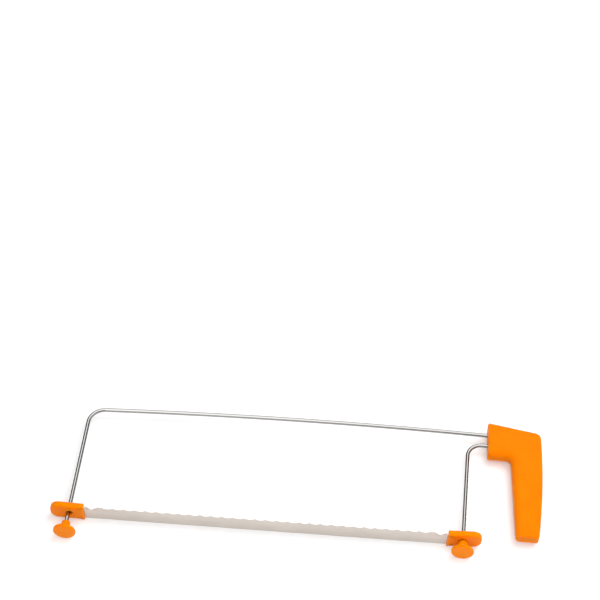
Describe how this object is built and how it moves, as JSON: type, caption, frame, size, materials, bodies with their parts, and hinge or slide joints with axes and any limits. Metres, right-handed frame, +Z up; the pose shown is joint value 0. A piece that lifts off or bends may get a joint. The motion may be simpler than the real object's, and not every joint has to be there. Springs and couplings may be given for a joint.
{
  "type": "cake leveler",
  "caption": "Bow-shaped cake leveler: bent steel wire frame with a pistol grip and disc feet, and a scalloped blade that slides along the legs to notched heights.",
  "frame": {"origin": "middle of the underside of the space the tool takes up as it lies on its side on a table", "axes": "+X along the rail from the far leg towards the grip, +Y from the feet towards the rail, +Z up from the table the tool lies on, square to the wire frame's plane"},
  "size_m": [0.3752, 0.1236, 0.017],
  "materials": {
    "polished_wire": "polished",
    "blade_steel": "satin",
    "orange_plastic": "semi-gloss"
  },
  "bodies": {
    "frame": {"frame_wire": "polished_wire", "handle_front_shell": "orange_plastic", "handle_back_shell": "orange_plastic", "near_foot": "orange_plastic", "far_foot": "orange_plastic"},
    "blade_carriage": {"blade": "blade_steel", "far_clip": "orange_plastic", "near_clip": "orange_plastic"}
  },
  "joints": [
    {"name": "blade_height", "type": "slide", "parent": "frame", "child": "blade_carriage", "axis": [0.0436, 0.999, 0], "range_m": [0, 0.065]}
  ]
}
